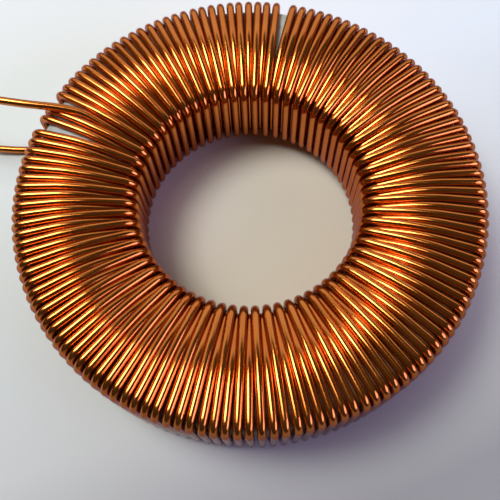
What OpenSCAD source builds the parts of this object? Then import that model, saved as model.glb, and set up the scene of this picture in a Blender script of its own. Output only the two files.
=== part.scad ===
// Toroidal inductor: a coated ring core wound all the way round with one length of enamelled wire.
// The ring's axis is Z and the wire's lowest side lies on Z = 0.

/* [Core] */
// Outside diameter of the ring core
core_od = 48.3; // [47:0.1:60]
// Bore of the ring core
core_id = 27; // [25:0.1:32]
// Height of the ring core
core_h = 10.4; // [8:0.1:16]
// Width of the level band round each face, inside the rim
crown_width = 5.4; // [4.6:0.1:7]
// Slope of each face from there down to the bore, in degrees
crown_slope = 19; // [0:1:24]
// Rounding of the core's outer edges
edge_r_out = 1.6; // [0.4:0.1:2]
// Rounding of the core's bore edges
edge_r_in = 0.8; // [0.2:0.1:1.5]

/* [Winding] */
// Diameter of the enamelled wire
wire_d = 0.85; // [0.6:0.05:0.85]
// Number of turns round the core, an even number
turns = 136; // [100:2:140]
// Turns between the upper lead and the first gap
turns_to_first_gap = 2; // [1:1:6]
// Turns between the upper lead and the second gap
turns_to_second_gap = 108; // [20:1:125]
// Extra angle left bare at each gap, in degrees
gap_angle = 2.05; // [0:0.05:4]
// Clear space kept between the wire and what it lies on
wire_clearance = 0.02; // [0.01:0.01:0.1]

/* [Leads] */
// Angle round the ring at which the leads leave, in degrees
lead_angle = 150.7; // [0:0.1:360]
// Angle by which both leads end up turned from the ring's radius, in degrees
lead_turn = 18.5; // [-10:0.5:24]
// Length of the last stretch of each lead
lead_length = 14; // [5:1:30]
// Length of the stretch with which each lead clears the rim
lead_step = 7; // [6:0.5:10]
// Distance inside the rim at which the upper lead swings over the turns beside it
upper_swing = 3.5; // [2:0.5:4.5]
// Height of the upper lead off the core where it swings
upper_lift = 0.7; // [0.65:0.05:0.9]
// Further rise of the upper lead as it clears the rim
upper_rise = 1; // [0.9:0.1:3]
// Angle by which the lower lead is turned where it clears the rim, in degrees
lower_turn = 39; // [0:1:45]
// Rise of the lower lead off the surface, in its last stretch
lower_rise = 1.5; // [0:0.1:4]

/* [Hidden] */

// Flat pieces that each edge of the core and its full round are drawn with
edge_facets = 8;
ring_facets = 180;
// The wire is drawn with flat sides, one of them on the core, and a little full to make up for the flats
wire_sides = 5;
fullness = 1.07;
section_r = fullness * wire_d / 2;
seat = section_r * cos(180 / wire_sides) + wire_clearance;
// The wire is bent in two equal steps round the rim's edges, and in one step at the crown and the bore's edges
half_bend = 45 / 2;
half_crown = crown_slope / 2;
half_edge = (90 - crown_slope) / 2;

pitch = (360 - 2 * gap_angle) / turns;
// Radius inside which the core's faces slope
crown_r = core_od / 2 - crown_width;
// Turns that lie on the core, on the outer wall and in the bore
outer_r = core_od / 2 + seat;
bore_r = core_id / 2 - seat;
face_z = core_h / 2 + seat;
bend_out = edge_r_out + seat;
knee_r = crown_r - seat * tan(half_crown);
edge_z = face_z - (knee_r - bore_r) * tan(crown_slope);
// Every second turn finds no room beside its neighbours in the bore, and rides on top of them there
turn_gap = 2 * (bore_r - wire_d) * sin(pitch / 2);
nest = wire_d + wire_clearance;
lift = turn_gap < nest ? sqrt(nest * nest - turn_gap * turn_gap) : 0;
knee_lift = lift * (outer_r - knee_r) / (outer_r - bore_r);
// Height of the core's middle plane above the surface that the wire lies on
mid_z = face_z + knee_lift + section_r;

function polar(r, a, z) = [r * cos(a), r * sin(a), z];

// Angle of a turn on the top and in the bore, with the gaps that come before it
function gaps_before(i) = (i > turns_to_first_gap ? 1 : 0) + (i > turns_to_second_gap ? 1 : 0);
function turn_angle(i) = lead_angle + i * pitch + gaps_before(i) * gap_angle;
// The wire crosses a gap by slanting in the bore of the turn before it
function under_angle(i) = turn_angle(i) + (gaps_before(i + 1) - gaps_before(i)) * gap_angle;
// Every second turn rides up
function rides(i) = i % 2;

// A cross-section of the wire round a point: the angle of its plane, the way its outer side faces,
// and how far its miter stretches it
function ring(middle, a, facing, stretch) = [
    for (k = [0:wire_sides - 1])
        let (
            t = 360 * k / wire_sides,
            out = section_r * stretch * cos(t),
            side = section_r * sin(t)
        )
        middle + [0, 0, mid_z] + polar(out * cos(facing), a, out * sin(facing)) + polar(side, a + 90, 0)
];

// One cross-section at a bend, mitered by half the bend's angle
function bend(r, a, z, facing, half) = ring(polar(r, a, z), a, facing, 1 / cos(half));

// The cross-sections of a turn: over the rim, at the crown and the bore's edge, and the same underneath
rim_step = bend_out * (1 - tan(half_bend));
function over_rim(a) = [
    bend(outer_r, a, face_z - rim_step, half_bend, half_bend),
    bend(outer_r - rim_step, a, face_z, 90 - half_bend, half_bend),
];
function over_face(a, up) = [
    bend(knee_r, a, face_z + up * knee_lift, 90 + half_crown, half_crown),
    bend(bore_r - up * lift, a, edge_z + up * lift / cos(crown_slope), 180 - half_edge, half_edge),
];
function under_face(a, up) = [
    bend(bore_r - up * lift, a, -edge_z - up * lift / cos(crown_slope), 180 + half_edge, half_edge),
    bend(knee_r, a, -face_z - up * knee_lift, 270 - half_crown, half_crown),
];
function under_rim(a) = [
    bend(outer_r - rim_step, a, -face_z, 270 + half_bend, half_bend),
    bend(outer_r, a, rim_step - face_z, 360 - half_bend, half_bend),
];

// The upper lead lifts off the core at its crown, and swings over a turn beside it
lead_heading = lead_angle + lead_turn;
swing_r = max(outer_r - upper_swing, knee_r + wire_d);
upper_start = polar(swing_r, lead_angle, face_z + upper_lift);
upper_knee = upper_start + polar(lead_step, lead_heading, upper_rise);
upper_end = upper_knee + polar(lead_length, lead_heading, 0);
upper_lead = [
    ring(upper_end, lead_heading, 90, 1),
    ring(upper_knee, lead_heading, 90, 1),
    ring(upper_start, (lead_angle + lead_heading) / 2, 90, 1),
];

// The lower lead leaves along the surface and rises off it
last_turn = turns - 1;
last_angle = under_angle(last_turn) - 360;
lower_heading = lead_angle + lower_turn;
lower_start = polar(outer_r + wire_d, last_angle, -face_z - knee_lift);
lower_knee = lower_start + polar(lead_step, lower_heading, 0);
lower_end = lower_knee + polar(lead_length, lead_heading, lower_rise);
lower_lead = [
    ring(lower_start, (last_angle + lower_heading) / 2, 270, 1),
    ring(lower_knee, (lower_heading + lead_heading) / 2, 270, 1),
    ring(lower_end, lead_heading, 270, 1),
];

rings = concat(
    upper_lead,
    over_face(turn_angle(0), rides(0)),
    under_face(under_angle(0), rides(0)),
    under_rim(under_angle(0)),
    [for (i = [1:last_turn - 1]) each concat(
        over_rim(turn_angle(i)),
        over_face(turn_angle(i), rides(i)),
        under_face(under_angle(i), rides(i)),
        under_rim(under_angle(i))
    )],
    over_rim(turn_angle(last_turn)),
    over_face(turn_angle(last_turn), rides(last_turn)),
    under_face(last_angle, rides(last_turn)),
    lower_lead
);

// Skin of a tube through a list of cross-sections, with flat ends
module tube(sections) {
    n = len(sections[0]);
    last = len(sections) - 1;
    skin = [
        for (j = [0:last - 1], k = [0:n - 1])
            let (
                a = j * n + k,
                b = j * n + (k + 1) % n
            )
            [a, b, b + n, a + n]
    ];
    ends = [
        [for (k = [0:n - 1]) n - 1 - k],
        [for (k = [0:n - 1]) last * n + k],
    ];
    polyhedron(points = [for (s = sections) each s], faces = concat(skin, ends));
}

// Points along an arc of the core's section
function arc(x, y, r, from, to) = [
    for (k = [0:edge_facets])
        let (t = from + (to - from) * k / edge_facets)
        [x + r * cos(t), y + r * sin(t)]
];

// Section of the core: each face is level from the rim to the crown and then falls to the bore, with rounded edges
module core_section() {
    rim = core_od / 2;
    top = core_h / 2;
    edge_x = core_id / 2 + edge_r_in;
    edge_y = top - (crown_r - edge_x) * tan(crown_slope) - edge_r_in / cos(crown_slope);
    upper = concat(
        arc(edge_x, edge_y, edge_r_in, 180, 90 + crown_slope),
        [[crown_r, top]],
        arc(rim - edge_r_out, top - edge_r_out, edge_r_out, 90, 0)
    );
    lower = [for (k = [len(upper) - 1:-1:0]) [upper[k][0], -upper[k][1]]];
    polygon(concat(upper, lower));
}

module core() {
    color("lightgray")
        translate([0, 0, mid_z])
            rotate_extrude($fn = ring_facets)
                core_section();
}

module winding() {
    color("peru")
        tube(rings);
}

core();
winding();
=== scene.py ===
import math
import random

import bpy
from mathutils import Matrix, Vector


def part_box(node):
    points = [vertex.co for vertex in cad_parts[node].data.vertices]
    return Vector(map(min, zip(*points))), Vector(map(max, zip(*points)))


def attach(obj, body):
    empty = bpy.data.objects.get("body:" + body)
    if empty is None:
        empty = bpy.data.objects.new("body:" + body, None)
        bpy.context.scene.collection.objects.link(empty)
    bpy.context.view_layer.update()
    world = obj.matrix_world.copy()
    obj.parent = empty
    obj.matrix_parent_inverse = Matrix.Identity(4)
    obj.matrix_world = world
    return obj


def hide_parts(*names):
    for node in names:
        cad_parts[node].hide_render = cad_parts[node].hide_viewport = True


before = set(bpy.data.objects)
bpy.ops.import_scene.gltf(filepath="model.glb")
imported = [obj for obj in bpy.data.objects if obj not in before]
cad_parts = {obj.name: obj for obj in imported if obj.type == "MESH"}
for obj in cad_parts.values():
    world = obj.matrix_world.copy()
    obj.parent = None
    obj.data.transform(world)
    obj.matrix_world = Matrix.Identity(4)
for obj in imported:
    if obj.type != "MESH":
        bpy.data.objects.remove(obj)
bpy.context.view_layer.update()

# The ring core: iron powder pressed into a ring with rounded edges, and baked in a pale grey-green coating.
# Each face is level near the rim and falls towards the bore. The wire that is wound round it covers nearly
# all of it, and the pale coating shows only in the gaps between turns.
CORE_TONES = ((0.36, 0.41, 0.39), (0.50, 0.55, 0.52))
CORE_SPECKLE = 900
CORE_SPECKLE_DETAIL = 4
CORE_ROUGHNESS = 0.45
GRAIN_STRENGTH = 0.15
GRAIN_DEPTH = 0.0001
# The coating is pale between these angles, in degrees, and painted brown as shade under the turns elsewhere
BARE_SPANS = ((75.7, 79.7), (149.2, 160.3))
BARE_FADE = 0.6
NO_TINT = (1, 1, 1)
# Painted shade between and under the turns, tinted by a painted copper reflection
PAINTED_SHADE_UNDER_TURNS = (0.42, 0.17, 0.06)
# The part of a noise's range over which a mottled colour goes from one tone to the other
MOTTLE_SPAN = (0.35, 0.65)


def new_material(name):
    """A material with its nodes, its links and its main shader."""
    material = bpy.data.materials.new(name)
    material.use_nodes = True
    tree = material.node_tree
    return material, tree.nodes, tree.links, tree.nodes["Principled BSDF"]


def mottled(nodes, links, scale, detail, tones):
    """A colour that drifts between two tones over the surface, in the object's own space."""
    place = nodes.new("ShaderNodeTexCoord")
    noise = nodes.new("ShaderNodeTexNoise")
    noise.inputs["Scale"].default_value = scale
    noise.inputs["Detail"].default_value = detail
    links.new(place.outputs["Object"], noise.inputs["Vector"])
    ramp = nodes.new("ShaderNodeValToRGB")
    for element, position, tone in zip(ramp.color_ramp.elements, MOTTLE_SPAN, tones):
        element.position = position
        element.color = (*tone, 1)
    links.new(noise.outputs["Fac"], ramp.inputs["Fac"])
    return noise, ramp


coating, nodes, links, shader = new_material("baked core coating")
speckle, tone = mottled(nodes, links, CORE_SPECKLE, CORE_SPECKLE_DETAIL, CORE_TONES)
place = nodes.new("ShaderNodeTexCoord")
bearing = nodes.new("ShaderNodeTexGradient")
bearing.gradient_type = "RADIAL"
links.new(place.outputs["Object"], bearing.inputs["Vector"])
# Painted shade: away from the two pale gaps the coating is painted dark brown
painted_shade_ramp = nodes.new("ShaderNodeValToRGB")
painted_shade_ramp.color_ramp.elements[0].color = (*PAINTED_SHADE_UNDER_TURNS, 1)
painted_shade_ramp.color_ramp.elements[1].color = (*PAINTED_SHADE_UNDER_TURNS, 1)
for first, last in BARE_SPANS:
    shades = (
        (first - BARE_FADE, PAINTED_SHADE_UNDER_TURNS),
        (first, NO_TINT),
        (last, NO_TINT),
        (last + BARE_FADE, PAINTED_SHADE_UNDER_TURNS),
    )
    for angle, shade in shades:
        stop = painted_shade_ramp.color_ramp.elements.new(0.5 + angle / 360)
        stop.color = (*shade, 1)
links.new(bearing.outputs["Fac"], painted_shade_ramp.inputs["Fac"])
shaded_tone = nodes.new("ShaderNodeVectorMath")
shaded_tone.operation = "MULTIPLY"
links.new(tone.outputs["Color"], shaded_tone.inputs[0])
links.new(painted_shade_ramp.outputs["Color"], shaded_tone.inputs[1])
links.new(shaded_tone.outputs["Vector"], shader.inputs["Base Color"])
shader.inputs["Roughness"].default_value = CORE_ROUGHNESS
grain = nodes.new("ShaderNodeBump")
grain.inputs["Strength"].default_value = GRAIN_STRENGTH
grain.inputs["Distance"].default_value = GRAIN_DEPTH
links.new(speckle.outputs["Fac"], grain.inputs["Height"])
links.new(grain.outputs["Normal"], shader.inputs["Normal"])

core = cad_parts["core"]
core.data.materials.clear()
core.data.materials.append(coating)

# Sizes of the core that the wire is wound to, with the slope of its faces in degrees
CROWN_SLOPE = 19
LEVEL_TOLERANCE = 1e-6
core_low, core_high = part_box("core")
core_rim = core_high.x
core_half = (core_high.z - core_low.z) / 2
core_middle = (core_high.z + core_low.z) / 2
core_bore = min(math.hypot(v.co.x, v.co.y) for v in core.data.vertices)
level_radii = [
    math.hypot(v.co.x, v.co.y)
    for v in core.data.vertices
    if v.co.z > core_high.z - LEVEL_TOLERANCE
]
crown_r = min(level_radii)
crown_slope = math.tan(math.radians(CROWN_SLOPE))


# The winding: one length of enamelled copper wire, wound by hand through the ring. Each turn climbs the rim,
# crosses the top, drops down the bore and comes back underneath. Every second turn rides on its neighbours in
# the bore, where there is no room beside them, and both ends leave at the left as stiff leads.
WIRE_D = 0.00088
WIRE_SIDES = 14
# Points round each bend, and across the top and the underside
BEND_STEPS = 6
TOP_STEPS = 12
UNDER_STEPS = 6
TURNS = 136
# Gaps come after these turns. The turns beside one lean over it, each less than the one before
GAPS_AFTER = (2, 108)
GAP_ANGLE = 2.05
GAP_CLOSED = 0.8
LEAN_FADE = 0.5
LEAD_ANGLE = 150.7
PITCH = (360 - len(GAPS_AFTER) * GAP_ANGLE) / TURNS
# How far the hand strays from an even pitch, in degrees, and how far the wire stands off what it lies on
HAND_SEED = 7
RIM_STRAY = 0.12
BORE_STRAY = 0.10
BOW = 0.0002
SLACK = 0.0001

wire_r = WIRE_D / 2
outer_r = core_rim + wire_r
bore_r = core_bore - wire_r
face_z = core_half + wire_r
turn_gap = 2 * (bore_r - WIRE_D) * math.sin(math.radians(PITCH / 2))
lift = math.sqrt(WIRE_D ** 2 - turn_gap ** 2) + SLACK
hand = random.Random(HAND_SEED)


def polar(r, degrees, z):
    return Vector((r * math.cos(math.radians(degrees)), r * math.sin(math.radians(degrees)), z))


def rim_angle(i):
    return LEAD_ANGLE + i * PITCH + GAP_ANGLE * sum(i > gap for gap in GAPS_AFTER)


def bore_angle(i):
    """The turns beside a gap lean over it, so that it is nearly closed in the bore."""
    angle = rim_angle(i)
    for gap in GAPS_AFTER:
        away = i - gap - 0.5
        lean = GAP_CLOSED * GAP_ANGLE / 2 * LEAN_FADE ** (abs(away) - 0.5)
        angle -= math.copysign(lean, away)
    return angle


# Bends on the wire's middle line, the soft knee at the crown, and how far a riding turn stands up there
RIM_BEND = 0.0012
BORE_BEND = 0.0012
KNEE_HALF = 0.0022
KNEE_INSIDE = 0.0006
TOP_RISE = 0.00012
UNDER_RISE = 0.00034
knee_r = crown_r - KNEE_INSIDE


def fall(r):
    """How far a turn has fallen from the level of the crown: a soft knee, then straight down the slope."""
    if r > knee_r + KNEE_HALF:
        return 0
    if r > knee_r - KNEE_HALF:
        return crown_slope * (knee_r + KNEE_HALF - r) ** 2 / (4 * KNEE_HALF)
    return crown_slope * (knee_r - r)


def ride(r, crown_rise):
    """How far a riding turn stands above its neighbours: a little at the crown, fully at the bore."""
    if r > knee_r:
        t = (outer_r - r) / (outer_r - knee_r)
        return crown_rise * t * t * (3 - 2 * t)
    return crown_rise + (lift - crown_rise) * (knee_r - r) / (knee_r - bore_r)


def half_turn(rides, crown_rise, bow, steps):
    """Radius and height of a turn, from the outside of the rim over one face to the inside of the bore."""
    def height(r):
        return face_z - fall(r) + rides * ride(r, crown_rise)

    rim_r = outer_r - RIM_BEND
    run = []
    for k in range(BEND_STEPS):
        a = math.pi / 2 * k / BEND_STEPS
        r = rim_r + RIM_BEND * math.cos(a)
        run.append((r, face_z - RIM_BEND + RIM_BEND * math.sin(a) + rides * ride(r, crown_rise)))
    leg_r = bore_r - rides * lift
    bend_r = BORE_BEND + rides * lift / 2
    slope = math.atan(crown_slope - rides * (lift - crown_rise) / (knee_r - bore_r))
    touch_r = leg_r + bend_r * (1 - math.sin(slope))
    for k in range(steps):
        t = k / steps
        r = rim_r + (touch_r - rim_r) * t
        run.append((r, height(r) + bow * math.sin(math.pi * t)))
    bend_z = height(touch_r) - bend_r * math.cos(slope)
    for k in range(BEND_STEPS + 1):
        a = math.pi / 2 + slope + (math.pi / 2 - slope) * k / BEND_STEPS
        run.append((leg_r + bend_r + bend_r * math.cos(a), bend_z + bend_r * math.sin(a)))
    return run


def spread(run, start_angle, end_angle):
    """Points of a half turn, turning from one angle at the rim to another in the bore."""
    return [
        polar(r, start_angle + (end_angle - start_angle) * (outer_r - r) / (outer_r - bore_r), z)
        for r, z in run
    ]


def top_points(i, start_angle, end_angle):
    run = half_turn(i % 2, TOP_RISE, hand.uniform(BOW / 2, BOW), TOP_STEPS)
    return spread(run, start_angle, end_angle)


def under_points(i, start_angle, end_angle):
    run = half_turn(i % 2, UNDER_RISE, 0, UNDER_STEPS)
    return spread([(r, -z) for r, z in run], end_angle, start_angle)[::-1]


# The leads swing away from the last turns: angles in degrees, and the bends rounded by cutting corners
LEAD_LENGTH = 0.014
LEAD_STEP = 0.007
UPPER_SWING = 0.0035
UPPER_LIFT = 0.0007
UPPER_RISE = 0.001
LOWER_RISE = 0.0015
LEAD_TURN = 18.5
UPPER_BEND = 7
LOWER_TURN = 42
CORNER_CUT = 0.25
CORNER_ROUNDS = 4
lead_heading = LEAD_ANGLE + LEAD_TURN
lower_heading = LEAD_ANGLE + LOWER_TURN


def smoothed(points):
    """The same line with its corners cut again and again, its ends kept."""
    for _ in range(CORNER_ROUNDS):
        cut = [points[0]]
        for a, b in zip(points, points[1:]):
            cut += [a.lerp(b, CORNER_CUT), a.lerp(b, 1 - CORNER_CUT)]
        points = cut + [points[-1]]
    return points


upper_start = polar(outer_r - UPPER_SWING, LEAD_ANGLE, face_z + UPPER_LIFT)
upper_knee = upper_start + polar(LEAD_STEP, lead_heading + UPPER_BEND, UPPER_RISE)
upper_end = upper_start + polar(LEAD_STEP + LEAD_LENGTH, lead_heading, UPPER_RISE)
first_top = [p for p in top_points(0, rim_angle(0), bore_angle(0)) if math.hypot(p.x, p.y) < knee_r]
upper_lead = smoothed([upper_end, upper_knee, upper_start, first_top[0]])

last = TURNS - 1
last_angle = rim_angle(last)
last_under = [p for p in under_points(last, bore_angle(last), last_angle) if math.hypot(p.x, p.y) < knee_r]
lower_start = polar(outer_r + WIRE_D, last_angle, -face_z - UNDER_RISE)
lower_knee = lower_start + polar(LEAD_STEP, lower_heading, 0)
lower_end = lower_knee + polar(LEAD_LENGTH, lead_heading, LOWER_RISE)
lower_lead = smoothed([last_under[-1], lower_start, lower_knee, lower_end])

path = upper_lead[:-1] + first_top
in_bore = bore_angle(0)
for i in range(1, TURNS):
    at_rim = rim_angle(i) + hand.uniform(-RIM_STRAY, RIM_STRAY)
    path += under_points(i - 1, in_bore, at_rim)
    in_bore = bore_angle(i) + hand.uniform(-BORE_STRAY, BORE_STRAY)
    path += top_points(i, at_rim, in_bore)
path += last_under[:-1] + lower_lead

vertices = []
faces = []
middle = Vector((0, 0, core_middle))
for k, point in enumerate(path):
    along = (path[min(k + 1, len(path) - 1)] - path[max(k - 1, 0)]).normalized()
    round_ring = Vector((-point.y, point.x, 0))
    side = (round_ring - along * round_ring.dot(along)).normalized()
    out = side.cross(along)
    for j in range(WIRE_SIDES):
        t = 2 * math.pi * j / WIRE_SIDES
        vertices.append(point + (out * math.cos(t) + side * math.sin(t)) * wire_r + middle)
for a in range(len(vertices) - WIRE_SIDES):
    b = a + 1 if (a + 1) % WIRE_SIDES else a + 1 - WIRE_SIDES
    faces.append((a, b, b + WIRE_SIDES, a + WIRE_SIDES))
faces.append(tuple(reversed(range(WIRE_SIDES))))
faces.append(tuple(range(len(vertices) - WIRE_SIDES, len(vertices))))

wire_mesh = bpy.data.meshes.new("winding wire")
wire_mesh.from_pydata(vertices, [], faces)
wire_mesh.shade_smooth()
wire = bpy.data.objects.new("winding_wire", wire_mesh)
bpy.context.collection.objects.link(wire)

# Copper under clear amber enamel: the metal darkens and reddens at its edges, and the enamel is a thin coat
ENAMEL_TONES = ((0.575, 0.16, 0.019), (0.665, 0.208, 0.032))
ENAMEL_DRIFT = 260
ENAMEL_DRIFT_DETAIL = 3
ENAMEL_METALLIC = 0.95
ENAMEL_ROUGHNESS = 0.18
ENAMEL_EDGE = (0.28, 0.13, 0.06)
ENAMEL_COAT = 0.5
ENAMEL_COAT_ROUGHNESS = 0.1
enamel, nodes, links, shader = new_material("enamelled copper")
_, tone = mottled(nodes, links, ENAMEL_DRIFT, ENAMEL_DRIFT_DETAIL, ENAMEL_TONES)
links.new(tone.outputs["Color"], shader.inputs["Base Color"])
shader.inputs["Metallic"].default_value = ENAMEL_METALLIC
shader.inputs["Roughness"].default_value = ENAMEL_ROUGHNESS
shader.inputs["Specular Tint"].default_value = (*ENAMEL_EDGE, 1)
shader.inputs["Coat Weight"].default_value = ENAMEL_COAT
shader.inputs["Coat Roughness"].default_value = ENAMEL_COAT_ROUGHNESS
wire_mesh.materials.append(enamel)
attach(wire, "root")
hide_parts("winding")


# The table: a plain sheet of matt pale paper that the ring lies flat on. Painted shade makes it greyer
# towards the front right, and a painted bounce of copper light makes it a little warmer inside the hole.
SHEET_HALF = 1.5
sheet_mesh = bpy.data.meshes.new("table")
corners = [(-1, -1), (1, -1), (1, 1), (-1, 1)]
sheet_mesh.from_pydata([(SHEET_HALF * x, SHEET_HALF * y, 0) for x, y in corners], [], [(0, 1, 2, 3)])
table = bpy.data.objects.new("table", sheet_mesh)
bpy.context.collection.objects.link(table)

# Painted shade and lamp falloff: the paper's colour darkens along this way
PAINTED_SHADE_WAY = Vector((0.35, -0.94, 0))
PAINTED_SHADE_SPAN = 0.07
# How far along that span each tone lies, with the ring's axis at its middle
PAPER_TONES_WITH_PAINTED_SHADE = (
    (0.0, (0.79, 0.86, 0.90)),
    (0.26, (0.72, 0.82, 0.885)),
    (0.73, (0.54, 0.585, 0.575)),
    (0.98, (0.28, 0.295, 0.31)),
)
AXIS_POSITION = 0.5
# Painted bounce light: the paper inside the hole is tinted warm as if lit by the copper
COPPER_GLOW = (0.99, 0.865, 0.735)
PAPER_ROUGHNESS = 0.8
paper, nodes, links, shader = new_material("matt white paper")
place = nodes.new("ShaderNodeTexCoord")
along = nodes.new("ShaderNodeVectorMath")
along.operation = "DOT_PRODUCT"
along.inputs[1].default_value = PAINTED_SHADE_WAY / PAINTED_SHADE_SPAN
links.new(place.outputs["Object"], along.inputs[0])
centred = nodes.new("ShaderNodeMath")
centred.operation = "ADD"
centred.inputs[1].default_value = AXIS_POSITION
links.new(along.outputs["Value"], centred.inputs[0])
# Painted shade: the paper's tone darkens towards the front right
painted_falloff = nodes.new("ShaderNodeValToRGB")
for _ in PAPER_TONES_WITH_PAINTED_SHADE[2:]:
    painted_falloff.color_ramp.elements.new(1)
for element, (position, tone) in zip(painted_falloff.color_ramp.elements, PAPER_TONES_WITH_PAINTED_SHADE):
    element.position = position
    element.color = (*tone, 1)
links.new(centred.outputs["Value"], painted_falloff.inputs["Fac"])
from_axis = nodes.new("ShaderNodeVectorMath")
from_axis.operation = "LENGTH"
links.new(place.outputs["Object"], from_axis.inputs[0])
glow = nodes.new("ShaderNodeValToRGB")
for element, (radius, tone) in zip(glow.color_ramp.elements, ((bore_r, COPPER_GLOW), (outer_r, NO_TINT))):
    element.position = radius
    element.color = (*tone, 1)
links.new(from_axis.outputs["Value"], glow.inputs["Fac"])
warmed = nodes.new("ShaderNodeVectorMath")
warmed.operation = "MULTIPLY"
links.new(painted_falloff.outputs["Color"], warmed.inputs[0])
links.new(glow.outputs["Color"], warmed.inputs[1])
links.new(warmed.outputs["Vector"], shader.inputs["Base Color"])
shader.inputs["Roughness"].default_value = PAPER_ROUGHNESS
sheet_mesh.materials.append(paper)


# The light: a broad warm lamp high on the left with a longer, weaker strip beside it, a wide window at the
# back, a low patch of violet daylight on the right, and a dark room. The lamps all face the ring.
LAMP_WHITE = (1, 0.97, 0.9)
DAYLIGHT = (0.56, 0.47, 0.82)
DARK_ROOM = (0.028, 0.025, 0.025)


def lamp_at(name, shape, place, size, radiance, tint):
    """A flat lamp that faces the ring, as bright all over as its radiance says."""
    lamp = bpy.data.lights.new(name, "AREA")
    lamp.shape = shape
    lamp.size, lamp.size_y = size
    area = size[0] * size[1] * (math.pi / 4 if shape == "ELLIPSE" else 1)
    lamp.energy = radiance * math.pi * area
    lamp.color = tint
    holder = bpy.data.objects.new(name, lamp)
    holder.location = place
    holder.rotation_mode = "QUATERNION"
    holder.rotation_quaternion = Vector(place).to_track_quat("Z", "Y")
    bpy.context.collection.objects.link(holder)


lamp_at("high_lamp", "ELLIPSE", (-0.40, 0.18, 0.898), size=(0.40, 0.40), radiance=13.4, tint=LAMP_WHITE)
lamp_at("high_strip", "ELLIPSE", (-0.43, 0.08, 0.932), size=(0.32, 0.90), radiance=5.3, tint=LAMP_WHITE)
lamp_at("back_window", "RECTANGLE", (0, 0.485, 0.353), size=(1.8, 0.41), radiance=0.8, tint=LAMP_WHITE)
lamp_at("right_daylight", "ELLIPSE", (0.32, -0.15, 0.17), size=(0.36, 0.24), radiance=5.6, tint=DAYLIGHT)

room = bpy.data.worlds.new("dark room")
room.use_nodes = True
room.node_tree.nodes["Background"].inputs["Color"].default_value = (*DARK_ROOM, 1)
bpy.context.scene.world = room
bpy.context.scene.view_settings.view_transform = "Standard"


# The camera: close above the front of the ring, at the photograph's angle and rolled a little on its axis.
# Its lens and shift frame the ring as the photograph does, which cuts off both leads at the left.
RING_R = 0.025
VIEW_ELEVATION = 68.34
VIEW_DISTANCE = 3.195 * RING_R
VIEW_ROLL = -2.515
VIEW_LENS = 47.44
VIEW_SHIFT = (-0.0016, -0.0356)
SENSOR_WIDTH = 36
NEAREST_SEEN = 0.005

camera_data = bpy.data.cameras.new("camera")
camera_data.sensor_width = SENSOR_WIDTH
camera_data.lens = VIEW_LENS
camera_data.shift_x, camera_data.shift_y = VIEW_SHIFT
camera_data.clip_start = NEAREST_SEEN
camera = bpy.data.objects.new("camera", camera_data)
bpy.context.collection.objects.link(camera)
tilt = math.radians(VIEW_ELEVATION)
camera.location = (0, -VIEW_DISTANCE * math.cos(tilt), VIEW_DISTANCE * math.sin(tilt))
camera.rotation_euler = (math.pi / 2 - tilt, 0, 0)
camera.rotation_euler.rotate_axis("Z", math.radians(VIEW_ROLL))
bpy.context.scene.camera = camera
